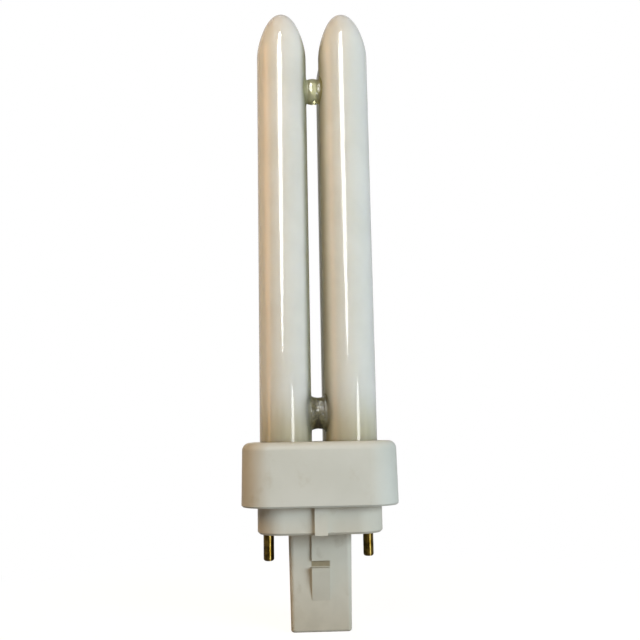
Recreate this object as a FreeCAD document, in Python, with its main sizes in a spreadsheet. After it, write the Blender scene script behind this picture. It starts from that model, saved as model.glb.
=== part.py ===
import FreeCAD, Part
import math
import os

import Sketcher
from FreeCAD import Placement, Rotation, Vector

# Double-twin compact fluorescent lamp with a two-pin plug base.
# Millimetres, +Z up, front at -Y, origin in the middle of the plug's flat end.

doc = FreeCAD.newDocument("lamp")

# Driving dimensions
SIZES = [
    ("lamp_length", 152.6, "plug end to the top of the bends"),
    ("tube_dia", 12.2, "outside of the glass tube"),
    ("tube_gap", 3.1, "clear gap between neighbouring tubes"),
    ("bend_width", 8.3, "tube across the bend at its crown"),
    ("bend_depth", 14.0, "tube in the plane of the bend at its crown"),
    ("tube_close", 3.0, "height of a tube's closed lower end"),
    ("tube_close_dia", 7.0, "flat of a tube's closed lower end"),
    ("pinch_width", 9.0, "press seal, across"),
    ("pinch_thick", 2.8, "press seal, front to back"),
    ("pinch_reach", 5.0, "press seal's end below the straight tube"),
    ("pinch_edge", 0.8, "rounding of the press seal's edges"),
    ("pinch_clear", 0.6, "press seal above the flange"),
    ("bridge_dia", 7.3, "blown bridge at its waist"),
    ("bridge_flare", 1.1, "bridge's growth in radius where it meets the tubes"),
    ("bridge_rise", 6.6, "bridge's axis above the collar"),
    ("tie_dia", 5.8, "tie at the foot of its bead"),
    ("tie_flare", 0.6, "tie's growth in radius where it meets the tubes"),
    ("tie_bead", 6.6, "bead in the middle of the tie"),
    ("tie_drop", 23.1, "tie's axis below the top of the bends"),
    ("joint_sink", 0.9, "depth of a flared joint past the tube's nearest line"),
    ("collar_overhang", 3.55, "collar's lower rim outside the insert"),
    ("collar_height", 14.35, "collar"),
    ("collar_corner", 6.8, "collar's upright corners"),
    ("collar_draft", 0.9, "collar's side draft in degrees"),
    ("collar_round", 1.8, "collar's upper edge"),
    ("collar_rim_bevel", 0.4, "collar's lower edge"),
    ("collar_wall", 1.6, "skirt of the collar"),
    ("collar_plate", 2.0, "top of the collar"),
    ("collar_ledge", 0.9, "step inside the skirt that the flange seats on"),
    ("socket_fit", 0.2, "tube's clearance in the collar's top"),
    ("cement_thick", 3.0, "cement slab under the collar's top"),
    ("flange_thick", 2.0, "flange of the plug base"),
    ("flange_recess", 0.4, "flange above the collar's rim"),
    ("flange_fit", 0.1, "flange's clearance in the skirt"),
    ("insert_height", 6.25, "insert below the collar"),
    ("insert_corner", 6.0, "insert's upright corners"),
    ("insert_wall", 0.85, "wall of the insert"),
    ("insert_bevel", 0.5, "insert's lower edge"),
    ("floor_thick", 1.8, "floor of the insert"),
    ("key_width", 2.9, "key rib on the insert"),
    ("key_proud", 1.1, "key rib's height"),
    ("plug_length", 22.5, "plug post below the insert"),
    ("plug_width", 14.7, "plug post at its root, across"),
    ("plug_depth", 13.6, "plug post at its root, front to back"),
    ("plug_taper", 1.0, "plug post's taper in degrees"),
    ("plug_edge", 1.3, "plug post's upright edges"),
    ("plug_foot", 0.6, "plug post's lower edge"),
    ("plug_wall", 1.3, "wall of the plug post"),
    ("plug_end", 1.5, "end wall of the plug post"),
    ("rib_width", 4.1, "guide rib and catch"),
    ("rib_proud", 0.7, "guide rib's height"),
    ("catch_height", 14.5, "top of the catch above the plug's end"),
    ("catch_length", 7.5, "catch from its top to where it runs out"),
    ("catch_proud", 1.6, "catch's height at its top"),
    ("catch_notch", 1.5, "gap between the guide rib and the catch"),
    ("pin_dia", 2.5, "contact pin"),
    ("pin_length", 7.0, "contact pin below the insert"),
    ("pin_tip", 0.6, "rounding of the pin's tip"),
    ("pin_across", 24.0, "pin to pin, across"),
    ("pin_stagger", 4.6, "pin to pin, front to back"),
    ("pin_neck_dia", 1.9, "pin's neck in the insert's floor"),
    ("pin_neck_fit", 0.05, "neck's clearance in the floor"),
    ("pin_step", 0.15, "pin's riveted head outside the pin"),
    ("pin_step_fit", 0.1, "head's clearance from the insert's wall"),
    ("pin_head", 0.8, "thickness of that head"),
    ("pin_stub_dia", 1.6, "pin above its head"),
    ("pin_stub", 0.9, "length above the head"),
    ("starter_dia", 6.2, "glow switch"),
    ("starter_length", 15.0, "glow switch"),
    ("starter_bevel", 1.4, "glow switch's closed ends"),
    ("starter_fit", 0.2, "clearance round the parts in the plug post"),
    ("capacitor_width", 7.0, "capacitor, across"),
    ("capacitor_height", 8.0, "capacitor"),
    ("capacitor_edge", 0.6, "capacitor's upright edges"),
    ("wire_dia", 0.6, "lead wires"),
    ("electrode_pitch", 4.4, "between the two wires of one press seal"),
    ("starter_pitch", 2.4, "between the two wires of the glow switch"),
    ("pin_lead_rise", 2.2, "level run of a pin's wire above the pin"),
    ("starter_lead_rise", 2.0, "level run of a starter wire above the floor"),
    ("joint_rise", 3.0, "capacitor's joint above the glow switch"),
]

sheet = doc.addObject("Spreadsheet::Sheet", "sizes")
for row, (alias, value, meaning) in enumerate(SIZES, start=1):
    sheet.set(f"A{row}", meaning)
    sheet.set(f"B{row}", str(value))
    sheet.setAlias(f"B{row}", alias)
doc.recompute()

# Widths, levels and places that follow from them, as expressions
TUBE_R = "sizes.tube_dia / 2"
HALF_PITCH = "(sizes.tube_dia + sizes.tube_gap) / 2"
PIN_R = "sizes.pin_dia / 2"
PIN_HEAD_R = f"({PIN_R} + sizes.pin_step)"
INSERT_INSIDE = f"(sizes.pin_across + 2 * ({PIN_HEAD_R} + sizes.pin_step_fit))"
INSERT_WIDTH = f"({INSERT_INSIDE} + 2 * sizes.insert_wall)"
COLLAR_WIDTH = f"({INSERT_WIDTH} + 2 * sizes.collar_overhang)"
COLLAR_MOUTH = f"({COLLAR_WIDTH} - 2 * sizes.collar_wall)"
COLLAR_INSIDE = f"({COLLAR_MOUTH} - 2 * sizes.collar_ledge)"
COLLAR_INSIDE_CORNER = "(sizes.collar_corner - sizes.collar_wall - sizes.collar_ledge)"
COLLAR_BASE = "(sizes.plug_length + sizes.insert_height)"
COLLAR_TOP = f"({COLLAR_BASE} + sizes.collar_height)"
PLATE_UNDER = f"({COLLAR_TOP} - sizes.collar_plate)"
FLANGE_BASE = f"({COLLAR_BASE} + sizes.flange_recess)"
FLANGE_TOP = f"({FLANGE_BASE} + sizes.flange_thick)"
FLOOR_TOP = "(sizes.plug_length + sizes.floor_thick)"
PINCH_END = f"({FLANGE_TOP} + sizes.pinch_clear)"
TUBE_END = f"({PINCH_END} + sizes.pinch_reach)"
BEND_AXIS = f"(sizes.lamp_length - {HALF_PITCH} - sizes.bend_depth / 2)"
TIE_AXIS = "(sizes.lamp_length - sizes.tie_drop)"
BRIDGE_AXIS = f"({COLLAR_TOP} + sizes.bridge_rise)"
BORE_HALF = "(sizes.plug_depth / 2 - sizes.plug_wall - sizes.plug_length * tan(sizes.plug_taper))"
STARTER_Y = f"({BORE_HALF} - sizes.starter_dia / 2 - sizes.starter_fit)"
STARTER_TOP = "(sizes.plug_end + sizes.starter_length)"
CAPACITOR_THICK = f"(2 * {BORE_HALF} - sizes.starter_dia - 3 * sizes.starter_fit)"
CAPACITOR_Y = f"(-{BORE_HALF} + sizes.starter_fit + {CAPACITOR_THICK} / 2)"
PIN_TOP = f"({FLOOR_TOP} + sizes.pin_head + sizes.pin_stub)"

SIDES = (-1, 1)
REAR = 1
TUBE_SPOTS = [(side, depth) for side in SIDES for depth in SIDES]
TUBE_CENTRES = [(f"{side} * {HALF_PITCH}", f"{depth} * {HALF_PITCH}") for side, depth in TUBE_SPOTS]
PIN_SIDES = {"left": -1, "right": 1}
ACROSS = Rotation(Vector(0, 1, 0), 90)


def size(expression):
    """Number that an expression on the sheet comes to."""
    return float(sheet.evalExpression(expression.replace("sizes.", "")))


def bind(item, **expressions):
    """Tie properties of an object to the sheet; a double underscore stands for a dot."""
    for name, expression in expressions.items():
        item.setExpression(name.replace("__", "."), expression)
    return item


def primitive(kind, name, **expressions):
    """Part primitive with its sizes and place tied to the sheet."""
    return bind(doc.addObject(kind, name), **expressions)


def new_body(label):
    body = doc.addObject("PartDesign::Body", label)
    body.Label = label
    return body


def origin_feature(body, role):
    return next(f for f in body.Origin.OriginFeatures if f.Role == role)


def new_sketch(body, name, role="XY_Plane", height=None):
    """Sketch on one of the body's own origin planes, raised along its normal."""
    sketch = body.newObject("Sketcher::SketchObject", name)
    sketch.AttachmentSupport = [(origin_feature(body, role), "")]
    sketch.MapMode = "FlatFace"
    if height:
        sketch.setExpression("AttachmentOffset.Base.z", height)
    return sketch


def dimension(sketch, constraint, name, expression):
    """Named dimension of a sketch, tied to the sheet."""
    index = sketch.addConstraint(constraint)
    sketch.renameConstraint(index, name)
    sketch.setExpression(f"Constraints.{name}", expression)


def rounded_rectangle(sketch, width, depth, corner):
    """Rectangle with round corners, centred on the sketch's origin."""
    w, d, r = size(width), size(depth), size(corner)
    a, b = w / 2, d / 2
    turn = math.pi / 2
    corners = [Vector(a - r, r - b), Vector(a - r, b - r), Vector(r - a, b - r), Vector(r - a, r - b)]
    runs = [
        (Vector(r - a, -b), Vector(a - r, -b)),
        (Vector(a, r - b), Vector(a, b - r)),
        (Vector(a - r, b), Vector(r - a, b)),
        (Vector(-a, b - r), Vector(-a, r - b)),
    ]
    for k in range(4):
        sketch.addGeometry(Part.LineSegment(*runs[k]))
        circle = Part.Circle(corners[k], Vector(0, 0, 1), r)
        sketch.addGeometry(Part.ArcOfCircle(circle, (k - 1) * turn, k * turn))
    for k in range(8):
        sketch.addConstraint(Sketcher.Constraint("Tangent", k, 2, (k + 1) % 8, 1))
    for k in (3, 5, 7):
        sketch.addConstraint(Sketcher.Constraint("Equal", 1, k))
    sketch.addConstraint(Sketcher.Constraint("Symmetric", 0, 1, 0, 2, -2))
    sketch.addConstraint(Sketcher.Constraint("Symmetric", 2, 1, 2, 2, -1))
    sketch.addConstraint(Sketcher.Constraint("Horizontal", 4))
    sketch.addConstraint(Sketcher.Constraint("Vertical", 6))
    dimension(sketch, Sketcher.Constraint("DistanceX", 6, 1, 2, 1, w), "width", width)
    dimension(sketch, Sketcher.Constraint("DistanceY", 0, 1, 4, 1, d), "depth", depth)
    dimension(sketch, Sketcher.Constraint("Radius", 1, r), "corner", corner)


def polygon(sketch, corners):
    """Closed outline whose corners are pairs of expressions from the sketch's origin."""
    spots = [Vector(size(x), size(y)) for x, y in corners]
    count = len(spots)
    for k in range(count):
        sketch.addGeometry(Part.LineSegment(spots[k], spots[(k + 1) % count]))
    for k in range(count):
        sketch.addConstraint(Sketcher.Constraint("Coincident", k, 2, (k + 1) % count, 1))
    for k, (x, y) in enumerate(corners):
        dimension(sketch, Sketcher.Constraint("DistanceX", -1, 1, k, 1, spots[k].x), f"x{k}", x)
        dimension(sketch, Sketcher.Constraint("DistanceY", -1, 1, k, 1, spots[k].y), f"y{k}", y)


def circles(sketch, radius, centres):
    """Equal circles added to a sketch; each centre is a pair of expressions from its origin."""
    for number, (x, y) in enumerate(centres):
        spot = Vector(size(x), size(y))
        k = sketch.addGeometry(Part.Circle(spot, Vector(0, 0, 1), size(radius)))
        dimension(sketch, Sketcher.Constraint("Radius", k, size(radius)), f"radius{number}", radius)
        dimension(sketch, Sketcher.Constraint("DistanceX", -1, 1, k, 3, spot.x), f"x{number}", x)
        dimension(sketch, Sketcher.Constraint("DistanceY", -1, 1, k, 3, spot.y), f"y{number}", y)


def extrude(body, kind, name, sketch, length, turned=False, taper=None):
    """Pad up from a sketch or pocket down into the solid below it; turned goes the other way."""
    feature = body.newObject(f"PartDesign::{kind}", name)
    feature.Profile = sketch
    feature.Reversed = turned
    feature.setExpression("Length", length)
    if taper:
        feature.setExpression("TaperAngle", taper)
    doc.recompute()
    return feature


def finish_edges(body, kind, name, base, amount, picks):
    """Fillet or chamfer on the edges of the base feature that a test picks."""
    names = [f"Edge{k}" for k, edge in enumerate(base.Shape.Edges, start=1) if picks(edge)]
    finish = body.newObject(f"PartDesign::{kind}", name)
    finish.Base = (base, names)
    finish.setExpression("Radius" if kind == "Fillet" else "Size", amount)
    doc.recompute()
    return finish


def edges_at(*levels):
    """Test for edges that lie flat at one of the levels."""
    heights = [size(level) for level in levels]
    near = 1e-4

    def picks(edge):
        low, high = edge.BoundBox.ZMin, edge.BoundBox.ZMax
        return any(abs(low - z) < near and abs(high - z) < near for z in heights)

    return picks


def opposite(body, name, features):
    """The same features again on the other face, half a turn round the axis."""
    pattern = body.newObject("PartDesign::PolarPattern", name)
    pattern.Originals = features
    pattern.Axis = (origin_feature(body, "Z_Axis"), [""])
    pattern.Angle = 360
    pattern.Occurrences = 2
    body.Tip = pattern
    doc.recompute()
    return pattern


# Glass
def bend(side):
    """U-bend as a loft: round where it leaves the legs, narrow and deep at its crown."""
    steps = 8
    flat = Rotation(Vector(1, 1, 0), 180)
    sections = []
    for number in range(steps + 1):
        angle = 180 * number / steps
        turn = Rotation(Vector(1, 0, 0), angle)
        ring = doc.addObject("Part::Ellipse", f"bend_section_{side + 1}_{number}")
        ring.Placement = Placement(Vector(), turn.multiply(flat))
        swell = f"sin({angle} deg)^2"
        bind(
            ring,
            MajorRadius=f"{TUBE_R} + (sizes.bend_depth - sizes.tube_dia) / 2 * {swell}",
            MinorRadius=f"{TUBE_R} + (sizes.bend_width - sizes.tube_dia) / 2 * {swell}",
            Placement__Base__x=f"{side} * {HALF_PITCH}",
            Placement__Base__y=f"{HALF_PITCH} * cos({angle} deg)",
            Placement__Base__z=f"{BEND_AXIS} + {HALF_PITCH} * sin({angle} deg)",
        )
        sections.append(ring)
    loft = doc.addObject("Part::Loft", f"bend_{side + 1}")
    loft.Sections = sections
    loft.Solid = True
    loft.Ruled = False
    return loft


def tube_leg(number, centre):
    """Straight leg with its closed lower end."""
    place = dict(Placement__Base__x=centre[0], Placement__Base__y=centre[1])
    leg = primitive(
        "Part::Cylinder", f"leg_{number}", Radius=TUBE_R, Height=f"{BEND_AXIS} - {TUBE_END}",
        Placement__Base__z=TUBE_END, **place,
    )
    closing = primitive(
        "Part::Cone", f"leg_end_{number}", Radius1="sizes.tube_close_dia / 2", Radius2=TUBE_R,
        Height="sizes.tube_close", Placement__Base__z=f"{TUBE_END} - sizes.tube_close", **place,
    )
    return [leg, closing]


def press_seal(side):
    """Flat pinched end of a rear leg, where the electrode's wires come out."""
    block = primitive(
        "Part::Box", f"pinch_{side + 1}", Length="sizes.pinch_width", Width="sizes.pinch_thick",
        Height="sizes.pinch_reach",
        Placement__Base__x=f"{side} * {HALF_PITCH} - sizes.pinch_width / 2",
        Placement__Base__y=f"{REAR} * {HALF_PITCH} - sizes.pinch_thick / 2", Placement__Base__z=PINCH_END,
    )
    doc.recompute()
    flat = size("sizes.pinch_thick")
    tall = size("sizes.pinch_reach")
    uprights = [k for k, edge in enumerate(block.Shape.Edges, start=1) if edge.BoundBox.ZLength > tall / 2]
    rounded = doc.addObject("Part::Fillet", f"press_seal_{side + 1}")
    rounded.Base = block
    radius = min(size("sizes.pinch_edge"), 0.45 * flat)
    rounded.Edges = [(k, radius, radius) for k in uprights]
    return rounded


def spool(name, waist_dia, flare, height):
    """Glass link between the two front legs: a rod with a hollow waist, flared where it meets the tubes."""
    reach = "(sizes.tube_gap / 2 + sizes.joint_sink)"
    hollow = f"(({reach}^2 + {flare}^2) / (2 * {flare}))"
    rod = doc.addObject("Part::Cylinder", f"{name}_rod")
    waist = doc.addObject("Part::Torus", f"{name}_waist")
    for item in (rod, waist):
        item.Placement = Placement(Vector(), ACROSS)
        bind(item, Placement__Base__y=f"-{HALF_PITCH}", Placement__Base__z=height)
    bind(rod, Radius=f"{waist_dia} / 2 + {flare}", Height=f"2 * {HALF_PITCH}")
    bind(rod, Placement__Base__x=f"-{HALF_PITCH}")
    bind(waist, Radius1=f"{waist_dia} / 2 + {hollow}", Radius2=hollow)
    link = doc.addObject("Part::Cut", name)
    link.Base = rod
    link.Tool = waist
    return link


def discharge_tube():
    pieces = [bend(side) for side in SIDES]
    for number, centre in enumerate(TUBE_CENTRES):
        pieces += tube_leg(number, centre)
    pieces += [press_seal(side) for side in SIDES]
    pieces.append(spool("bridge", "sizes.bridge_dia", "sizes.bridge_flare", BRIDGE_AXIS))
    pieces.append(spool("tie", "sizes.tie_dia", "sizes.tie_flare", TIE_AXIS))
    bead = doc.addObject("Part::Sphere", "tie_bead")
    bead.Placement = Placement(Vector(), ACROSS)
    bind(bead, Radius="sizes.tie_bead / 2", Placement__Base__y=f"-{HALF_PITCH}", Placement__Base__z=TIE_AXIS)
    pieces.append(bead)
    glass = doc.addObject("Part::MultiFuse", "discharge_tube")
    glass.Shapes = pieces
    glass.Refine = True
    return glass


def tube_cement():
    """Slab of cement that fills the collar under its top and grips the four tubes."""
    body = new_body("tube_cement")
    outline = new_sketch(body, "cement_outline", height=f"{PLATE_UNDER} - sizes.cement_thick")
    rounded_rectangle(outline, COLLAR_INSIDE, COLLAR_INSIDE, COLLAR_INSIDE_CORNER)
    circles(outline, TUBE_R, TUBE_CENTRES)
    extrude(body, "Pad", "cement_slab", outline, "sizes.cement_thick")
    return body


# Base mouldings
def collar():
    body = new_body("collar")
    outline = new_sketch(body, "collar_outline", height=COLLAR_BASE)
    rounded_rectangle(outline, COLLAR_WIDTH, COLLAR_WIDTH, "sizes.collar_corner")
    block = extrude(body, "Pad", "collar_block", outline, "sizes.collar_height", taper="-sizes.collar_draft")
    crown = finish_edges(body, "Fillet", "collar_crown", block, "sizes.collar_round", edges_at(COLLAR_TOP))
    finish_edges(body, "Chamfer", "collar_rim", crown, "sizes.collar_rim_bevel", edges_at(COLLAR_BASE))

    seat = new_sketch(body, "flange_seat_outline", height=COLLAR_BASE)
    rounded_rectangle(seat, COLLAR_MOUTH, COLLAR_MOUTH, "sizes.collar_corner - sizes.collar_wall")
    seat_depth = "sizes.flange_recess + sizes.flange_thick"
    extrude(body, "Pocket", "flange_seat", seat, seat_depth, turned=True)

    room = new_sketch(body, "collar_room_outline", height=FLANGE_TOP)
    rounded_rectangle(room, COLLAR_INSIDE, COLLAR_INSIDE, COLLAR_INSIDE_CORNER)
    extrude(body, "Pocket", "collar_room", room, f"{PLATE_UNDER} - {FLANGE_TOP}", turned=True)

    sockets = new_sketch(body, "sockets_outline", height=COLLAR_TOP)
    circles(sockets, f"{TUBE_R} + sizes.socket_fit", TUBE_CENTRES)
    extrude(body, "Pocket", "sockets", sockets, "sizes.collar_plate")
    return body


def plug_face(height):
    """Distance of the plug post's front face from the axis at a height."""
    return f"(sizes.plug_depth / 2 - (sizes.plug_length - {height}) * tan(sizes.plug_taper))"


def plug_base():
    body = new_body("plug_base")
    flange = new_sketch(body, "flange_outline", height=FLANGE_BASE)
    flange_width = f"{COLLAR_MOUTH} - 2 * sizes.flange_fit"
    flange_corner = "sizes.collar_corner - sizes.collar_wall - sizes.flange_fit"
    rounded_rectangle(flange, flange_width, flange_width, flange_corner)
    extrude(body, "Pad", "flange", flange, "sizes.flange_thick")

    wall = new_sketch(body, "insert_outline", height="sizes.plug_length")
    rounded_rectangle(wall, INSERT_WIDTH, INSERT_WIDTH, "sizes.insert_corner")
    insert = extrude(body, "Pad", "insert", wall, f"{FLANGE_BASE} - sizes.plug_length")
    finish_edges(body, "Chamfer", "insert_rim", insert, "sizes.insert_bevel", edges_at("sizes.plug_length"))

    post = new_sketch(body, "post_outline", height="sizes.plug_length")
    rounded_rectangle(post, "sizes.plug_width", "sizes.plug_depth", "sizes.plug_edge")
    plug = extrude(body, "Pad", "post", post, "sizes.plug_length", turned=True, taper="-sizes.plug_taper")
    finish_edges(body, "Fillet", "post_foot", plug, "sizes.plug_foot", edges_at("0"))

    room = new_sketch(body, "insert_room_outline", height=FLANGE_TOP)
    rounded_rectangle(room, INSERT_INSIDE, INSERT_INSIDE, "sizes.insert_corner - sizes.insert_wall")
    extrude(body, "Pocket", "insert_room", room, f"{FLANGE_TOP} - {FLOOR_TOP}")

    well = new_sketch(body, "post_well_outline", height="sizes.plug_length")
    across = "(sizes.plug_width / 2 - sizes.plug_wall)"
    along = "(sizes.plug_depth / 2 - sizes.plug_wall)"
    well_corners = [(f"-{across}", f"-{along}"), (across, f"-{along}"), (across, along), (f"-{across}", along)]
    polygon(well, well_corners)
    well_depth = "sizes.plug_length - sizes.plug_end"
    extrude(body, "Pocket", "post_well", well, well_depth, taper="-sizes.plug_taper")

    mouth = new_sketch(body, "well_mouth_outline", height="sizes.plug_length")
    polygon(mouth, well_corners)
    extrude(body, "Pocket", "well_mouth", mouth, "sizes.floor_thick", turned=True)

    holes = new_sketch(body, "pin_holes_outline", height=FLOOR_TOP)
    spots = [(f"{side} * sizes.pin_across / 2", f"{side} * sizes.pin_stagger / 2") for side in SIDES]
    circles(holes, "sizes.pin_neck_dia / 2 + sizes.pin_neck_fit", spots)
    extrude(body, "Pocket", "pin_holes", holes, "sizes.floor_thick")

    key = new_sketch(body, "key_outline", height="sizes.plug_length")
    half, face = "sizes.key_width / 2", f"{INSERT_WIDTH} / 2"
    out, root = f"-({face} + sizes.key_proud)", f"-({face} - sizes.insert_wall / 2)"
    polygon(key, [(f"-{half}", root), (f"-{half}", out), (half, out), (half, root)])
    key_rib = extrude(body, "Pad", "key", key, f"{FLANGE_BASE} - sizes.plug_length")

    side = new_sketch(body, "rib_and_catch_outline", role="YZ_Plane", height="-sizes.rib_width / 2")
    root, top = "sizes.plug_wall / 2", "sizes.catch_height"
    rib_end, foot = f"({top} + sizes.catch_notch)", f"({top} - sizes.catch_length)"
    at_root, at_end, at_top, at_foot = (plug_face(z) for z in ("sizes.plug_length", rib_end, top, foot))
    polygon(side, [
        (f"-({at_root} - {root})", "sizes.plug_length"),
        (f"-({at_root} + sizes.rib_proud)", "sizes.plug_length"),
        (f"-({at_end} + sizes.rib_proud)", rib_end),
        (f"-{at_end}", rib_end),
        (f"-{at_top}", top),
        (f"-({at_top} + sizes.catch_proud)", top),
        (f"-{at_foot}", foot),
        (f"-({at_foot} - {root})", foot),
    ])
    rib = extrude(body, "Pad", "rib_and_catch", side, "sizes.rib_width")
    opposite(body, "rear_key", [key_rib])
    opposite(body, "rear_rib_and_catch", [rib])
    return body


# Contacts, starter and wires
def contact_pin(name, side):
    """Turned pin whose neck goes through the insert's floor, riveted over above it."""
    body = new_body(f"contact_pin_{name}")
    profile = new_sketch(body, f"pin_profile_{name}", role="XZ_Plane")
    neck, stub = "sizes.pin_neck_dia / 2", "sizes.pin_stub_dia / 2"
    low, seat, head = "sizes.plug_length - sizes.pin_length", "sizes.plug_length", f"{FLOOR_TOP} + sizes.pin_head"
    polygon(profile, [
        ("0", low), (PIN_R, low), (PIN_R, seat), (neck, seat), (neck, FLOOR_TOP), (PIN_HEAD_R, FLOOR_TOP),
        (PIN_HEAD_R, head), (stub, head), (stub, PIN_TOP), ("0", PIN_TOP),
    ])
    turned = body.newObject("PartDesign::Revolution", f"pin_turned_{name}")
    turned.Profile = profile
    turned.ReferenceAxis = (profile, ["V_Axis"])
    turned.Angle = 360
    doc.recompute()
    finish_edges(body, "Fillet", f"pin_tip_{name}", turned, "sizes.pin_tip", edges_at(low))
    bind(body, Placement__Base__x=f"{side} * sizes.pin_across / 2")
    bind(body, Placement__Base__y=f"{side} * sizes.pin_stagger / 2")
    return body


def starter_bulb():
    """Glow switch, a small sealed bulb that stands on the end wall of the plug post."""
    body = new_body("starter_bulb")
    outline = new_sketch(body, "starter_outline", height="sizes.plug_end")
    circles(outline, "sizes.starter_dia / 2", [("0", STARTER_Y)])
    bulb = extrude(body, "Pad", "starter_tube", outline, "sizes.starter_length")
    ends = edges_at("sizes.plug_end", STARTER_TOP)
    finish_edges(body, "Chamfer", "starter_ends", bulb, "sizes.starter_bevel", ends)
    return body


def starter_capacitor():
    body = new_body("starter_capacitor")
    outline = new_sketch(body, "capacitor_outline", height="sizes.plug_end")
    rounded_rectangle(outline, "sizes.capacitor_width", CAPACITOR_THICK, "sizes.capacitor_edge")
    extrude(body, "Pad", "capacitor_block", outline, "sizes.capacitor_height")
    bind(body, Placement__Base__y=CAPACITOR_Y)
    return body


def wire_solid(route):
    """Round wire along straight runs that meet in mitred corners."""
    ring = Part.Circle(route[0], route[1] - route[0], size("sizes.wire_dia") / 2)
    mitred = 1
    return Part.makePolygon(route).makePipeShell([Part.Wire(ring.toShape())], True, False, mitred)


def lead(label, routes):
    """One node of wires."""
    item = doc.addObject("Part::Feature", label)
    solids = [wire_solid(route) for route in routes]
    item.Shape = solids[0] if len(solids) == 1 else Part.makeCompound(solids)
    return item


def electrode_wire(side, outwards):
    """Where one of an electrode's wires leaves the press seal."""
    x = side * (size(HALF_PITCH) + outwards * size("sizes.electrode_pitch") / 2)
    return Vector(x, REAR * size(HALF_PITCH), size(PINCH_END))


def pin_lead(name, side):
    start = electrode_wire(side, 1)
    end = Vector(side * size("sizes.pin_across") / 2, side * size("sizes.pin_stagger") / 2, size(PIN_TOP))
    level = end.z + size("sizes.pin_lead_rise")
    corners = [Vector(start.x, start.y, level), Vector(end.x, end.y, level)]
    return lead(f"pin_lead_{name}", [[start, *corners, end]])


def starter_lead(name, side):
    start = electrode_wire(side, -1)
    end = Vector(side * size("sizes.starter_pitch") / 2, size(STARTER_Y), size(STARTER_TOP))
    level = size(FLOOR_TOP) + size("sizes.starter_lead_rise")
    corners = [Vector(start.x, start.y, level), Vector(end.x, end.y, level)]
    return lead(f"starter_lead_{name}", [[start, *corners, end]])


def capacitor_leads():
    """Two wires from the capacitor's top, each meeting the side of a starter wire."""
    low = size("sizes.plug_end") + size("sizes.capacitor_height")
    level = size(STARTER_TOP) + size("sizes.joint_rise")
    back = size(CAPACITOR_Y)
    touch = size(STARTER_Y) - size("sizes.wire_dia") / 2
    routes = []
    for side in SIDES:
        x = side * size("sizes.starter_pitch") / 2
        routes.append([Vector(x, back, low), Vector(x, back, level), Vector(x, touch, level)])
    return lead("capacitor_leads", routes)


pieces = [discharge_tube(), tube_cement(), collar(), plug_base()]
pieces += [contact_pin(name, side) for name, side in PIN_SIDES.items()]
pieces += [starter_bulb(), starter_capacitor(), capacitor_leads()]
pieces += [pin_lead(name, side) for name, side in PIN_SIDES.items()]
pieces += [starter_lead(name, side) for name, side in PIN_SIDES.items()]
doc.recompute()

# Every object has to be sound before anything is written
for item in doc.Objects:
    if "Invalid" in item.State or "Error" in item.State:
        raise RuntimeError(f"{item.Name} failed: {item.State}")
for piece in pieces:
    if piece.Shape.isNull() or not piece.Shape.isValid():
        raise RuntimeError(f"{piece.Label} has no valid shape")

os.makedirs("parts", exist_ok=True)
for piece in pieces:
    piece.Shape.exportStep(os.path.join("parts", f"{piece.Label}.step"))
    print(piece.Label, len(piece.Shape.Solids), "solids", f"{piece.Shape.Volume:.1f} mm3")
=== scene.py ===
import math

import bpy
import numpy as np
from mathutils import Matrix, Vector


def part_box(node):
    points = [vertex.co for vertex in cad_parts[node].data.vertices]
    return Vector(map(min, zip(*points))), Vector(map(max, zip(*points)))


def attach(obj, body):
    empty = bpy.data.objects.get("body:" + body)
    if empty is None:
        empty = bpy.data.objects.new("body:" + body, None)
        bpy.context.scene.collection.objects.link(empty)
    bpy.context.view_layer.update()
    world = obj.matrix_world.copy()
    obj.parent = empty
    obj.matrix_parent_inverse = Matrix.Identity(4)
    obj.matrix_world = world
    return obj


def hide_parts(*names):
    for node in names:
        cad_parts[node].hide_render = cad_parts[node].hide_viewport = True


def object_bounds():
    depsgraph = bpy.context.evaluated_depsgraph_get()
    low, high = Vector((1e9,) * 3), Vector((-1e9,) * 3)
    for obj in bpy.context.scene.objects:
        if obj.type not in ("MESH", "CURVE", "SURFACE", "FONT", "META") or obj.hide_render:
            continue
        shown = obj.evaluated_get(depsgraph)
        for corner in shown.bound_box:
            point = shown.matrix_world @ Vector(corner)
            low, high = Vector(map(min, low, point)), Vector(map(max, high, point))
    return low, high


# Looks of a double-twin compact fluorescent lamp with a two-pin plug base.
# Lengths are metres in the frame: +Z up, front at -Y, origin in the middle of the plug's end.

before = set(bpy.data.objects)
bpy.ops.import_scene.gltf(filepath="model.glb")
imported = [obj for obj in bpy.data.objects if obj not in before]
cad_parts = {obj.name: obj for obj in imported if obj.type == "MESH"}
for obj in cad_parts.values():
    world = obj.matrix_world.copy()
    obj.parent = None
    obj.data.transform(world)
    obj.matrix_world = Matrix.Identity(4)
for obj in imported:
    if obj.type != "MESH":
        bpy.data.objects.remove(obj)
cad_low, cad_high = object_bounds()

MM = 0.001

# The glass: what the frame's boxes don't give by themselves
TUBE_R = 6.1 * MM
CROWN_HALF_WIDTH = 4.15 * MM
CROWN_HALF_DEPTH = 7.0 * MM
CLOSED_END_HEIGHT = 3.0 * MM
CLOSED_END_R = 3.5 * MM
SEAL_HALF_WIDTH = 4.5 * MM
SEAL_HALF_THICK = 1.4 * MM
SEAL_LENGTH = 5.0 * MM
BRIDGE_R = 3.65 * MM
BRIDGE_FLARE = 1.1 * MM
BRIDGE_RISE = 6.6 * MM
TIE_R = 2.9 * MM
TIE_FLARE = 0.6 * MM
TIE_BEAD_R = 3.3 * MM
TIE_DROP = 23.1 * MM
JOINT_SINK = 0.9 * MM
LINK_END = 4.8 * MM
FILLET = 1.2 * MM
LINK_FLATNESS = 0.72

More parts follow.
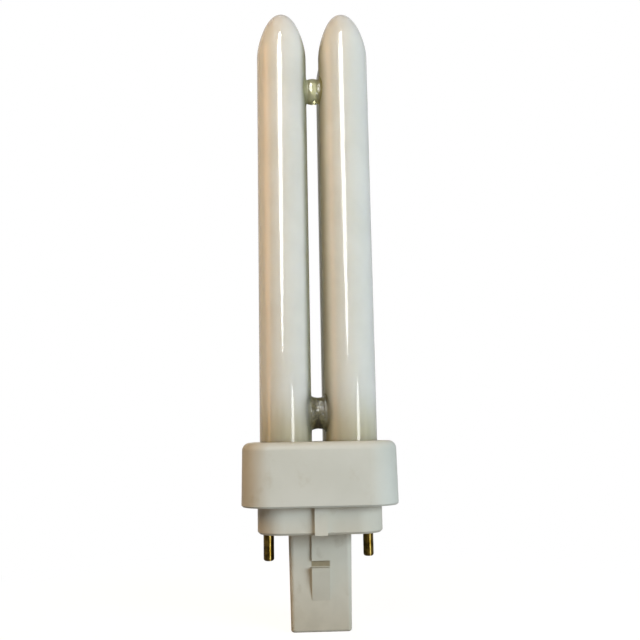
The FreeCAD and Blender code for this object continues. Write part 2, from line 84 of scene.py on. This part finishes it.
# The coating: painted shade along the side towards the other tube; burned off at a link, with painted shade
# of the hollow behind it; darker above the collar, partly staining and partly painted shade
GAP_SHADE_FROM = 0.72
GAP_SHADE_AT_LINK = 0.8
SCORCH_FROM, SCORCH_FADE = 0.7 * MM, 2.2 * MM
STAIN_AND_SHADE_HEIGHT = 13 * MM
BORE_LIFT, BORE_SLOPE, BORE_START, BORE_EDGE = 0.8 * MM, 0.45, -0.7 * MM, 0.35 * MM

# The base: the notch between guide rib and catch, where shade is painted, the plug end, which is darker
# towards the bottom, and the painted highlight line down each pin
NOTCH_MIDDLE, NOTCH_HALF = 15.25 * MM, 0.75 * MM
RIB_HALF_WIDTH = 2.05 * MM
DARKER_LOW_TO = 13 * MM
PIN_HIGHLIGHT_OFFSET = 0.36 * MM

glass_low, glass_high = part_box("discharge_tube")
collar_low, collar_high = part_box("collar")
HALF_PITCH = glass_high.x - TUBE_R
HALF_GAP = HALF_PITCH - TUBE_R
BEND_AXIS = glass_high.z - HALF_PITCH - CROWN_HALF_DEPTH
TUBE_END = glass_low.z + SEAL_LENGTH
BRIDGE_Z = collar_high.z + BRIDGE_RISE
TIE_Z = glass_high.z - TIE_DROP
LEFT, RIGHT = -1, 1

# The camera stands in front, low, and looks a little up
IMAGE_PX = 640
SENSOR = 36 * MM
FOCAL_PX = 799.8
CAMERA_AT = Vector((-6.896, -197.133, 44.034)) * MM
CAMERA_YAW = math.radians(2.342)
CAMERA_PITCH = math.radians(8.347)
CAMERA_ROLL = math.radians(-1.064)


def linear(code):
    """sRGB hex code to a linear colour with alpha."""
    values = np.array([int(code[k:k + 2], 16) for k in (1, 3, 5)]) / 255
    low, high = values / 12.92, ((values + 0.055) / 1.055) ** 2.4
    return (*np.where(values <= 0.04045, low, high), 1.0)


def add(tree, kind, inputs=None, stops=(), **settings):
    """One node with its settings and inputs.

    An input is named or numbered, and takes a number, a socket, or a node for that node's first output.
    Stops are pairs of place and hex code for a node with a colour ramp.
    """
    node = tree.nodes.new(kind)
    for name, value in settings.items():
        setattr(node, name, value)
    for place, value in (inputs or {}).items():
        if isinstance(value, bpy.types.Node):
            value = value.outputs[0]
        if isinstance(value, bpy.types.NodeSocket):
            tree.links.new(value, node.inputs[place])
        else:
            node.inputs[place].default_value = value
    if stops:
        node.color_ramp.interpolation = "EASE"
        for point, (place, code) in zip(node.color_ramp.elements, stops):
            point.position = place
            point.color = linear(code)
    return node


def new_material(name):
    """Empty node material and its tree."""
    material = bpy.data.materials.new(name)
    material.use_nodes = True
    material.node_tree.nodes.clear()
    return material, material.node_tree


# Meshes from arrays
def surface(name, points, caps=False, marks=None):
    """Quad mesh over a grid of points, closed round its columns.

    Rows run along the piece and columns round it. Caps close the first and last row, and
    marks are numbers kept on each point under a name, for the material to read.
    """
    rows, columns = points.shape[:2]
    index = np.arange(rows * columns).reshape(rows, columns)
    near, far = index[:-1], index[1:]
    quads = np.stack([near, np.roll(near, -1, axis=1), np.roll(far, -1, axis=1), far], axis=-1)
    faces = quads.reshape(-1, 4).tolist()
    if caps:
        faces += [index[0][::-1].tolist(), index[-1].tolist()]
    mesh = bpy.data.meshes.new(name)
    mesh.from_pydata(points.reshape(-1, 3), [], faces)
    mesh.polygons.foreach_set("use_smooth", np.ones(len(mesh.polygons), bool))
    for mark, values in (marks or {}).items():
        layer = mesh.attributes.new(mark, "FLOAT", "POINT")
        layer.data.foreach_set("value", values.astype(np.float32).ravel())
    mesh.update()
    return mesh


def piece(name, mesh, material):
    """Object of the lamp from a mesh, riding on its one body."""
    item = bpy.data.objects.new(name, mesh)
    bpy.context.scene.collection.objects.link(item)
    mesh.materials.append(material)
    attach(item, "root")
    return item


def smooth(share):
    """Share held between nought and one and eased at both ends: three squares less two cubes."""
    share = np.clip(share, 0, 1)
    return share ** 2 * (3 - 2 * share)


def tube_surface(name, side, gap_shade_share):
    """One U-bent tube: an ellipse carried up the rear leg, round the bend and down the front leg.

    The ellipse is a circle on the legs. Through the bend its half width falls and its half depth
    grows with the square of the sine of the turn. At the ends it closes in, to a flat press seal
    on the rear leg and to a blunt end on the front one. Painted shade darkens the side that faces
    the other tube, from a share of the half width on.
    """
    leg_rows, bend_rows, end_rows, columns = 90, 72, 10, 96
    leg = np.linspace(TUBE_END, BEND_AXIS, leg_rows)
    turn = np.linspace(0, math.pi, bend_rows + 2)[1:-1]
    close = np.linspace(0, 1, end_rows)[:-1]
    swell = np.sin(turn) ** 2
    ease = np.sin(close * math.pi / 2)

    seal_z = glass_low.z + SEAL_LENGTH * close
    blunt_z = TUBE_END - CLOSED_END_HEIGHT * close[::-1]
    height = np.concatenate([seal_z, leg, BEND_AXIS + HALF_PITCH * np.sin(turn), leg[::-1], blunt_z[::-1]])
    depth = np.concatenate([
        np.full(len(seal_z) + leg_rows, HALF_PITCH), HALF_PITCH * np.cos(turn),
        np.full(leg_rows + len(blunt_z), -HALF_PITCH),
    ])
    bend_wide = TUBE_R + (CROWN_HALF_WIDTH - TUBE_R) * swell
    bend_deep = TUBE_R + (CROWN_HALF_DEPTH - TUBE_R) * swell
    straight = np.full(leg_rows, TUBE_R)
    blunt = CLOSED_END_R + (TUBE_R - CLOSED_END_R) * ease
    seal_wide = SEAL_HALF_WIDTH + (TUBE_R - SEAL_HALF_WIDTH) * ease
    seal_deep = SEAL_HALF_THICK + (TUBE_R - SEAL_HALF_THICK) * close ** 3
    wide = np.concatenate([seal_wide, straight, bend_wide, straight, blunt[::-1]])
    deep = np.concatenate([seal_deep, straight, bend_deep, straight, blunt[::-1]])
    lean = np.concatenate([np.zeros(len(seal_z) + leg_rows), turn, np.full(leg_rows + len(blunt_z), math.pi)])

    round_angle = np.linspace(0, 2 * math.pi, columns, endpoint=False)
    across = np.outer(wide, np.cos(round_angle))
    outward = np.outer(deep, np.sin(round_angle))
    points = np.stack([
        side * HALF_PITCH + across,
        depth[:, None] + outward * np.cos(lean)[:, None],
        height[:, None] + outward * np.sin(lean)[:, None],
    ], axis=-1)
    # Painted shade along the side that faces the other tube
    inwards = smooth((-side * np.cos(round_angle) - GAP_SHADE_FROM) / (1 - GAP_SHADE_FROM))
    gap_shaded = np.broadcast_to(gap_shade_share * inwards, across.shape)
    return surface(name, points, caps=True, marks={"gap_shade": gap_shaded})


def link_surface(name, waist, flare, height, bead=0.0):
    """Glass link between the front legs: an ellipse carried along the line that joins their axes.

    Its half height is a circular hollow that opens by the flare, or a round bead where the bead is
    the larger, and its depth is a fixed share of that. Near a tube the size becomes the smooth maximum
    of the hollow and the tube's own surface, so that the link melts into the glass, and past a fillet's
    depth it stays inside. The scorch mark falls from one in the middle to nought at the joint, and
    painted shade darkens the joint a little, as on the tube beside it.
    """
    rows, columns, tiny = 121, 96, 1e-3
    x = np.linspace(-LINK_END, LINK_END, rows)[:, None]
    angle = np.linspace(0, 2 * math.pi, columns, endpoint=False)[None, :]
    reach = HALF_GAP + JOINT_SINK
    hollow = (reach ** 2 + flare ** 2) / (2 * flare)
    waisted = waist + hollow - np.sqrt(hollow ** 2 - np.minimum(np.abs(x), HALF_GAP) ** 2)
    link = np.maximum(waisted, np.sqrt(np.maximum(bead ** 2 - x ** 2, 0)))
    depth = np.sqrt(np.maximum(TUBE_R ** 2 - (HALF_PITCH - np.abs(x)) ** 2, 0))
    tube = depth / (LINK_FLATNESS * np.maximum(np.abs(np.cos(angle)), tiny))
    near = np.maximum(1 - np.abs(link - tube) / FILLET, 0)
    radius = np.minimum(np.maximum(link, tube) + near ** 2 * FILLET / 4, link + FILLET)
    points = np.stack([
        np.broadcast_to(x, radius.shape), -HALF_PITCH + LINK_FLATNESS * radius * np.cos(angle),
        height + radius * np.sin(angle),
    ], axis=-1)
    scorch = np.broadcast_to(1 - smooth((np.abs(x) - SCORCH_FROM) / SCORCH_FADE), radius.shape)
    # Painted shade near the joint, carrying on from that on the tube
    inwards = smooth(((HALF_PITCH - np.abs(x)) / TUBE_R - GAP_SHADE_FROM) / (1 - GAP_SHADE_FROM))
    gap_shaded = np.broadcast_to(GAP_SHADE_AT_LINK * inwards, radius.shape)
    return surface(name, points, caps=True, marks={"scorch": scorch, "gap_shade": gap_shaded})


# Materials
def coated_glass():
    """Drawn soda-lime tube, coated inside with milky phosphor.

    The eye gets a crisp gloss over a soft grey-white that is never quite even: painted shade turns it
    olive along the gap between the tubes, and above the collar it is darker and browner, partly end
    staining and partly painted shade. At the blown bridge the flame has burned it off: dark rippled
    glass, with painted shade of the hollow behind it as a blackish-brown hourglass.
    """
    material, tree = new_material("phosphor_coated_glass")
    place = add(tree, "ShaderNodeTexCoord").outputs["Object"]
    parts = add(tree, "ShaderNodeSeparateXYZ", {"Vector": place})
    gap_shade = add(tree, "ShaderNodeAttribute", attribute_name="gap_shade").outputs["Fac"]
    scorch = add(tree, "ShaderNodeAttribute", attribute_name="scorch").outputs["Fac"]

    # Clouds in the coating, streaks pulled along the drawn tube, and ripples left by the flame
    cloud_mm, streak_mm, pull_mm, ripple_mm = 9.0, 2.2, 60.0, 0.7
    cloud = add(tree, "ShaderNodeTexNoise", {"Vector": place, "Scale": 1 / (cloud_mm * MM), "Detail": 3.0})
    pulled = (1 / (streak_mm * MM), 1 / (streak_mm * MM), 1 / (pull_mm * MM))
    drawn = add(tree, "ShaderNodeMapping", {"Vector": place, "Scale": pulled})
    streak = add(tree, "ShaderNodeTexNoise", {"Vector": drawn, "Scale": 1.0, "Detail": 2.0})
    ripple = add(tree, "ShaderNodeTexNoise", {"Vector": place, "Scale": 1 / (ripple_mm * MM), "Detail": 1.0})

    milk = add(tree, "ShaderNodeValToRGB", {"Fac": cloud}, [(0.3, "#D2D3CA"), (0.7, "#D8D9D0")])
    # Painted shade along the gap between the tubes
    gap_shade_colour = add(tree, "ShaderNodeValToRGB", {"Fac": streak}, [(0.3, "#6C6949"), (0.7, "#7E7B5A")])
    # Darker and browner colour above the collar: partly end staining, partly painted shade
    stain_and_shade = add(tree, "ShaderNodeValToRGB", {"Fac": streak}, [(0.3, "#9C936A"), (0.7, "#AEA57E")])
    olive = add(tree, "ShaderNodeValToRGB", {"Fac": ripple}, [(0.35, "#453F22"), (0.65, "#635D39")])
    # Painted shade of the hollow behind the bridge
    bore_shade_colour = add(tree, "ShaderNodeValToRGB", {"Fac": ripple}, [(0.35, "#171204"), (0.65, "#2C260E")])

    above_collar = add(tree, "ShaderNodeMapRange", {
        "Value": parts.outputs["Z"], "From Min": collar_high.z, "From Max": collar_high.z + STAIN_AND_SHADE_HEIGHT,
        "To Min": 0.75, "To Max": 0.0,
    }, interpolation_type="SMOOTHSTEP")
    stained_and_shaded = add(tree, "ShaderNodeMix", {0: above_collar, 6: milk, 7: stain_and_shade}, data_type="RGBA")
    coated = add(tree, "ShaderNodeMix", {0: gap_shade, 6: stained_and_shaded.outputs[2], 7: gap_shade_colour}, data_type="RGBA")

    # Painted shade of the hollow behind the wall: dark where its half width, which grows with the height
    # above or below its neck, passes |x|
    across = add(tree, "ShaderNodeMath", {0: parts.outputs["X"]}, operation="ABSOLUTE")
    neck_z = BRIDGE_Z + BORE_LIFT
    above = add(tree, "ShaderNodeMath", {0: parts.outputs["Z"], 1: neck_z}, operation="SUBTRACT")
    from_neck = add(tree, "ShaderNodeMath", {0: above}, operation="ABSOLUTE")
    half_width = add(tree, "ShaderNodeMath", {0: from_neck, 1: BORE_SLOPE, 2: BORE_START},
                     operation="MULTIPLY_ADD")
    inside = add(tree, "ShaderNodeMath", {0: half_width, 1: across}, operation="SUBTRACT")
    bore_shade = add(tree, "ShaderNodeMapRange", {"Value": inside, "From Min": -BORE_EDGE, "From Max": BORE_EDGE},
               interpolation_type="SMOOTHSTEP")
    burnt_and_bore_shade = add(tree, "ShaderNodeMix", {0: bore_shade, 6: olive, 7: bore_shade_colour}, data_type="RGBA")
    colour = add(tree, "ShaderNodeMix", {0: scorch, 6: coated.outputs[2], 7: burnt_and_bore_shade.outputs[2]},
                 data_type="RGBA")

    pull_bump = add(tree, "ShaderNodeBump", {"Height": streak, "Strength": 0.05, "Distance": 0.1 * MM})
    flamed = add(tree, "ShaderNodeMapRange", {
        "Value": scorch, "From Min": 0.2, "From Max": 1.0, "To Max": 0.9,
    }, interpolation_type="SMOOTHSTEP")
    gloss_normal = add(tree, "ShaderNodeBump", {
        "Height": ripple, "Strength": flamed, "Distance": 0.3 * MM, "Normal": pull_bump,
    })
    shader = add(tree, "ShaderNodeBsdfPrincipled", {
        "Base Color": colour.outputs[2], "Roughness": 0.55, "IOR": 1.5, "Specular IOR Level": 0.2,
        "Subsurface Weight": 1.0, "Subsurface Scale": 20 * MM, "Subsurface Radius": (1.0, 1.0, 0.9),
        "Coat Weight": 1.0, "Coat Roughness": 0.03, "Coat IOR": 1.52, "Coat Normal": gloss_normal,
    })
    add(tree, "ShaderNodeOutputMaterial", {"Surface": shader})
    return material


def flame_worked_glass():
    """Flame-worked glass with coating melted into it: an olive body, half see-through, with sharp glints."""
    material, tree = new_material("flame_worked_glass")
    place = add(tree, "ShaderNodeTexCoord").outputs["Object"]
    wave_mm = 2.5
    wave = add(tree, "ShaderNodeTexNoise", {"Vector": place, "Scale": 1 / (wave_mm * MM), "Detail": 1.0})
    tint = add(tree, "ShaderNodeValToRGB", {"Fac": wave}, [(0.3, "#A5A47E"), (0.7, "#B9B893")])
    swirl = add(tree, "ShaderNodeBump", {"Height": wave, "Strength": 0.25, "Distance": 0.3 * MM})
    shader = add(tree, "ShaderNodeBsdfPrincipled", {
        "Base Color": tint, "Roughness": 0.02, "IOR": 1.52, "Transmission Weight": 0.4, "Normal": swirl,
    })
    add(tree, "ShaderNodeOutputMaterial", {"Surface": shader})
    return material


def moulded_plastic(name, light, dark, grime_and_shade, darker_pale):
    """Moulded thermoplastic, used for years.

    The eye gets an even satin with a fine spark-eroded grain, faint spots of dirt, painted shade in the notch
    above the catch, and a plug end that is darker towards the bottom.
    """
    material, tree = new_material(name)
    place = add(tree, "ShaderNodeTexCoord").outputs["Object"]
    parts = add(tree, "ShaderNodeSeparateXYZ", {"Vector": place})
    flow_mm, grain_mm, dirt_mm = 14.0, 0.35, 4.0
    flow = add(tree, "ShaderNodeTexNoise", {"Vector": place, "Scale": 1 / (flow_mm * MM), "Detail": 4.0})
    dirt = add(tree, "ShaderNodeTexNoise", {"Vector": place, "Scale": 1 / (dirt_mm * MM), "Detail": 6.0})
    # The mould's real grain is finer than a pixel, so it is drawn coarse enough to break the gloss
    grain = add(tree, "ShaderNodeTexNoise", {"Vector": place, "Scale": 1 / (grain_mm * MM), "Detail": 2.0})

    body = add(tree, "ShaderNodeValToRGB", {"Fac": flow}, [(0.3, dark), (0.7, light)])
    soil = add(tree, "ShaderNodeValToRGB", {"Fac": flow}, [(0.3, grime_and_shade), (0.7, dark)])
    darker_tone = add(tree, "ShaderNodeValToRGB", {"Fac": dirt}, [(0.3, grime_and_shade), (0.7, darker_pale)])
    spots = add(tree, "ShaderNodeMapRange", {
        "Value": dirt, "From Min": 0.56, "From Max": 0.75, "To Max": 0.35,
    }, interpolation_type="SMOOTHSTEP")
    spotted = add(tree, "ShaderNodeMix", {0: spots, 6: body, 7: soil}, data_type="RGBA")

    # Painted shade in the notch between the guide rib and the catch
    above = add(tree, "ShaderNodeMath", {0: parts.outputs["Z"], 1: NOTCH_MIDDLE}, operation="SUBTRACT")
    off_notch = add(tree, "ShaderNodeMath", {0: above}, operation="ABSOLUTE")
    in_height = add(tree, "ShaderNodeMapRange", {
        "Value": off_notch, "From Min": NOTCH_HALF - 0.3 * MM, "From Max": NOTCH_HALF + 0.1 * MM,
        "To Min": 0.9, "To Max": 0.0,
    }, interpolation_type="SMOOTHSTEP")
    across = add(tree, "ShaderNodeMath", {0: parts.outputs["X"]}, operation="ABSOLUTE")
    in_width = add(tree, "ShaderNodeMapRange", {
        "Value": across, "From Min": RIB_HALF_WIDTH - 0.1 * MM, "From Max": RIB_HALF_WIDTH + 0.3 * MM,
        "To Min": 1.0, "To Max": 0.0,
    }, interpolation_type="SMOOTHSTEP")
    notch_shade = add(tree, "ShaderNodeMath", {0: in_height, 1: in_width}, operation="MULTIPLY")
    notch_shaded = add(tree, "ShaderNodeMix", {0: notch_shade, 6: spotted.outputs[2], 7: darker_tone}, data_type="RGBA")
    # Darker towards the plug end
    darker_low = add(tree, "ShaderNodeMapRange", {
        "Value": parts.outputs["Z"], "From Min": 0.0, "From Max": DARKER_LOW_TO, "To Min": 0.4, "To Max": 0.0,
    }, interpolation_type="SMOOTHSTEP")
    colour = add(tree, "ShaderNodeMix", {0: darker_low, 6: notch_shaded.outputs[2], 7: darker_tone}, data_type="RGBA")

    rough = add(tree, "ShaderNodeMapRange", {
        "Value": flow, "From Min": 0.3, "From Max": 0.7, "To Min": 0.42, "To Max": 0.52,
    }, interpolation_type="SMOOTHSTEP")
    bump = add(tree, "ShaderNodeBump", {"Height": grain, "Strength": 0.12, "Distance": 0.05 * MM})
    shader = add(tree, "ShaderNodeBsdfPrincipled", {
        "Base Color": colour.outputs[2], "Roughness": rough, "IOR": 1.5, "Specular IOR Level": 0.25,
        "Normal": bump,
    })
    add(tree, "ShaderNodeOutputMaterial", {"Surface": shader})
    return material


def turned_brass(name, stripe_x):
    """Turned brass gone brown: fine rings, patches of tarnish and a painted highlight down one side."""
    material, tree = new_material(name)
    place = add(tree, "ShaderNodeTexCoord").outputs["Object"]
    parts = add(tree, "ShaderNodeSeparateXYZ", {"Vector": place})
    patch_mm, ring_mm = 1.6, 0.25
    patch = add(tree, "ShaderNodeTexNoise", {"Vector": place, "Scale": 1 / (patch_mm * MM), "Detail": 4.0})
    ring = add(tree, "ShaderNodeTexWave", {
        "Vector": place, "Scale": 1 / (2 * math.pi * ring_mm * MM), "Distortion": 0.4,
    }, bands_direction="Z")
    # Painted highlight: a pale gold line down the pin, a little to the right of its middle
    from_stripe = add(tree, "ShaderNodeMath", {0: parts.outputs["X"], 1: stripe_x}, operation="SUBTRACT")
    beside = add(tree, "ShaderNodeMath", {0: from_stripe}, operation="ABSOLUTE")
    highlight_stripe = add(tree, "ShaderNodeMapRange", {
        "Value": beside, "From Min": 0.03 * MM, "From Max": 0.2 * MM, "To Min": 1.0, "To Max": 0.0,
    }, interpolation_type="SMOOTHSTEP")
    tarnish = add(tree, "ShaderNodeValToRGB", {"Fac": patch}, [(0.35, "#2E250F"), (0.6, "#56461E")])
    highlight_colour = add(tree, "ShaderNodeValToRGB", {"Fac": patch}, [(0.35, "#E0BC50"), (0.6, "#F2DA80")])
    colour = add(tree, "ShaderNodeMix", {0: highlight_stripe, 6: tarnish, 7: highlight_colour}, data_type="RGBA")
    rough = add(tree, "ShaderNodeMapRange", {
        "Value": patch, "From Min": 0.35, "From Max": 0.6, "To Min": 0.42, "To Max": 0.28,
    }, interpolation_type="SMOOTHSTEP")
    bump = add(tree, "ShaderNodeBump", {"Height": ring, "Strength": 0.15, "Distance": 0.02 * MM})
    shader = add(tree, "ShaderNodeBsdfPrincipled", {
        "Base Color": colour.outputs[2], "Metallic": 1.0, "Roughness": rough, "Normal": bump,
    })
    add(tree, "ShaderNodeOutputMaterial", {"Surface": shader})
    return material


def speckled(name, first, second, spot_mm, rough, metallic=0.0):
    """Plain finish of a hidden part, with a soft two-tone mottle."""
    material, tree = new_material(name)
    place = add(tree, "ShaderNodeTexCoord").outputs["Object"]
    spots = add(tree, "ShaderNodeTexNoise", {"Vector": place, "Scale": 1 / (spot_mm * MM), "Detail": 4.0})
    colour = add(tree, "ShaderNodeValToRGB", {"Fac": spots}, [(0.35, first), (0.65, second)])
    shader = add(tree, "ShaderNodeBsdfPrincipled", {
        "Base Color": colour, "Roughness": rough, "Metallic": metallic,
    })
    add(tree, "ShaderNodeOutputMaterial", {"Surface": shader})
    return material


def dress(material, *nodes):
    """Give CAD nodes a material."""
    for node in nodes:
        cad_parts[node].material_slots[0].material = material


milky = coated_glass()
melted = flame_worked_glass()
left_tube = piece("tube_left", tube_surface("tube_left", LEFT, 1.0), milky)
right_tube = piece("tube_right", tube_surface("tube_right", RIGHT, 0.55), milky)
tie = piece("tie", link_surface("tie", TIE_R, TIE_FLARE, TIE_Z, TIE_BEAD_R), melted)
bridge = piece("bridge", link_surface("bridge", BRIDGE_R, BRIDGE_FLARE, BRIDGE_Z), milky)
for glass_piece in (left_tube, right_tube, tie, bridge):
    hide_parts("discharge_tube")

dress(moulded_plastic("moulded_collar", "#D0D1C8", "#C9CAC0", "#A79C80", "#B4AA92"), "collar")
dress(moulded_plastic("moulded_base", "#D2D0C4", "#C9C6B8", "#85785A", "#A4977B"), "plug_base")
for side in ("left", "right"):
    pin_low, pin_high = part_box(f"contact_pin_{side}")
    pin_brass = turned_brass(f"turned_brass_{side}", (pin_low.x + pin_high.x) / 2 + PIN_HIGHLIGHT_OFFSET)
    dress(pin_brass, f"contact_pin_{side}")
dress(speckled("set_cement", "#B5AD9C", "#CBC4B4", 1.2, 0.9), "tube_cement")
dress(melted, "starter_bulb")
dress(speckled("dipped_resin", "#7A4520", "#96602F", 2.0, 0.3), "starter_capacitor")
dress(speckled("drawn_nickel_wire", "#8E8A80", "#B8B4AA", 0.8, 0.35, 1.0), "capacitor_leads", "pin_lead_left",
      "pin_lead_right", "starter_lead_left", "starter_lead_right")


# Studio
def seen_directly(tree):
    """One for camera and see-through rays, a half for mirror rays, nought for light on the lamp."""
    path = add(tree, "ShaderNodeLightPath")
    through = add(tree, "ShaderNodeMath", {
        0: path.outputs["Is Camera Ray"], 1: path.outputs["Is Transmission Ray"],
    }, operation="MAXIMUM")
    mirrored = add(tree, "ShaderNodeMath", {0: path.outputs["Is Glossy Ray"], 1: 0.5}, operation="MULTIPLY")
    return add(tree, "ShaderNodeMath", {0: through, 1: mirrored}, operation="MAXIMUM")


def white_room(ambient):
    """World that looks white and lights the lamp with a soft even glow."""
    world = bpy.data.worlds.new("white_room")
    world.use_nodes = True
    tree = world.node_tree
    tree.nodes.clear()
    glow = add(tree, "ShaderNodeBackground", {"Color": linear("#FFE2BE"), "Strength": ambient})
    white = add(tree, "ShaderNodeBackground", {"Color": linear("#FFFFFF"), "Strength": 1.0})
    mixed = add(tree, "ShaderNodeMixShader", {0: seen_directly(tree), 1: glow, 2: white})
    add(tree, "ShaderNodeOutputWorld", {"Surface": mixed})
    bpy.context.scene.world = world


def pale_floor():
    """Round pale floor that takes the lamp's shadow near the plug and fades into the white room.

    A flat ring: three circles about the plug's end, just under it.
    """
    shadow_r, fade_r, columns, sunk = 40 * MM, 130 * MM, 64, 0.05 * MM
    radius = np.array([600.0, 100.0, 1.0]) * MM
    angle = np.linspace(0, 2 * math.pi, columns, endpoint=False)
    points = np.stack([
        np.outer(radius, np.cos(angle)), np.outer(radius, np.sin(angle)),
        np.full((len(radius), columns), -sunk),
    ], axis=-1)
    mesh = surface("floor", points)
    floor = bpy.data.objects.new("floor", mesh)
    bpy.context.scene.collection.objects.link(floor)

    material, tree = new_material("painted_board")
    place = add(tree, "ShaderNodeTexCoord").outputs["Object"]
    distance = add(tree, "ShaderNodeVectorMath", {0: place}, operation="LENGTH").outputs["Value"]
    fade = add(tree, "ShaderNodeMapRange", {"Value": distance, "From Min": shadow_r, "From Max": fade_r},
               interpolation_type="SMOOTHSTEP")
    seen = seen_directly(tree)
    lifted = add(tree, "ShaderNodeMapRange", {"Value": seen, "To Max": 0.88}, interpolation_type="SMOOTHSTEP")
    board = add(tree, "ShaderNodeBsdfDiffuse", {"Color": linear("#98928A")})
    lift = add(tree, "ShaderNodeEmission", {"Color": linear("#FFFFFF"), "Strength": lifted})
    lit = add(tree, "ShaderNodeAddShader", {0: board, 1: lift})
    white = add(tree, "ShaderNodeEmission", {"Color": linear("#FFFFFF"), "Strength": 1.0})
    faded = add(tree, "ShaderNodeMath", {0: fade, 1: seen}, operation="MULTIPLY")
    mixed = add(tree, "ShaderNodeMixShader", {0: faded, 1: lit, 2: white})
    add(tree, "ShaderNodeOutputMaterial", {"Surface": mixed})
    mesh.materials.append(material)


def softbox(name, azimuth, elevation, distance, width, height, radiance, tint="#FFFFFF",
            lights=True, shows=True):
    """Soft light round the lamp; azimuth is from the front towards the right, angles in degrees.

    Its power follows from the radiance, so that its brightness in a reflection stays when it is resized.
    An oval card that doesn't light only shows in the gloss, and a light that doesn't show leaves no image.
    """
    turn, rise = math.radians(azimuth), math.radians(elevation)
    target = Vector((0, 0, (cad_low.z + cad_high.z) / 2))
    away = Vector((math.sin(turn) * math.cos(rise), -math.cos(turn) * math.cos(rise), math.sin(rise)))
    light = bpy.data.lights.new(name, "AREA")
    light.shape = "RECTANGLE" if lights else "ELLIPSE"
    light.size, light.size_y = width, height
    light.energy = radiance * math.pi * width * height
    light.color = linear(tint)[:3]
    item = bpy.data.objects.new(name, light)
    bpy.context.scene.collection.objects.link(item)
    item.visible_diffuse, item.visible_glossy = lights, shows
    item.location = target + away * distance
    item.rotation_euler = (-away).to_track_quat("-Z", "Y").to_euler()


def camera():
    """Camera from its place and its yaw, pitch and roll."""
    forward = Vector((
        math.sin(CAMERA_YAW) * math.cos(CAMERA_PITCH), math.cos(CAMERA_YAW) * math.cos(CAMERA_PITCH),
        math.sin(CAMERA_PITCH),
    ))
    level = Vector((math.cos(CAMERA_YAW), -math.sin(CAMERA_YAW), 0))
    upright = level.cross(forward)
    right = math.cos(CAMERA_ROLL) * level + math.sin(CAMERA_ROLL) * upright
    up = -math.sin(CAMERA_ROLL) * level + math.cos(CAMERA_ROLL) * upright
    lens = bpy.data.cameras.new("camera")
    lens.sensor_width = SENSOR / MM
    lens.lens = SENSOR / MM * FOCAL_PX / IMAGE_PX
    lens.clip_start, lens.clip_end = 5 * MM, 10.0
    item = bpy.data.objects.new("camera", lens)
    bpy.context.scene.collection.objects.link(item)
    item.matrix_world = Matrix.Translation(CAMERA_AT) @ Matrix((right, up, -forward)).transposed().to_4x4()
    bpy.context.scene.camera = item


white_room(0.06)
pale_floor()
# Lights that fall on the lamp: cool from the right, warm from the left, weak from the front and the back
softbox("key", 42, 6, 0.55, 0.40, 0.25, 9.0, "#E6F4FF", shows=False)
softbox("front_fill", -22, 28, 0.50, 0.30, 0.30, 1.1, "#FCFFF0", shows=False)
softbox("left_glow", -54, 36, 0.27, 0.22, 0.18, 2.8, "#FFCA8C", shows=False)
softbox("back_fill", 190, 20, 0.60, 0.40, 0.40, 3.0, shows=False)
# Cards that show in the gloss: the long line down each tube, its top, the warm left edge and the low line
softbox("front_card", -10, 27, 0.50, 0.16, 0.42, 9.5, lights=False)
softbox("top_card", -10, 54, 0.55, 0.12, 0.26, 9.5, lights=False)
softbox("warm_card", -76, 20, 0.35, 0.17, 0.34, 1.8, "#FFB066", lights=False)
softbox("low_card", 30, -4, 0.40, 0.09, 0.07, 7.5, lights=False)
camera()
bpy.context.scene.view_settings.view_transform = "Standard"
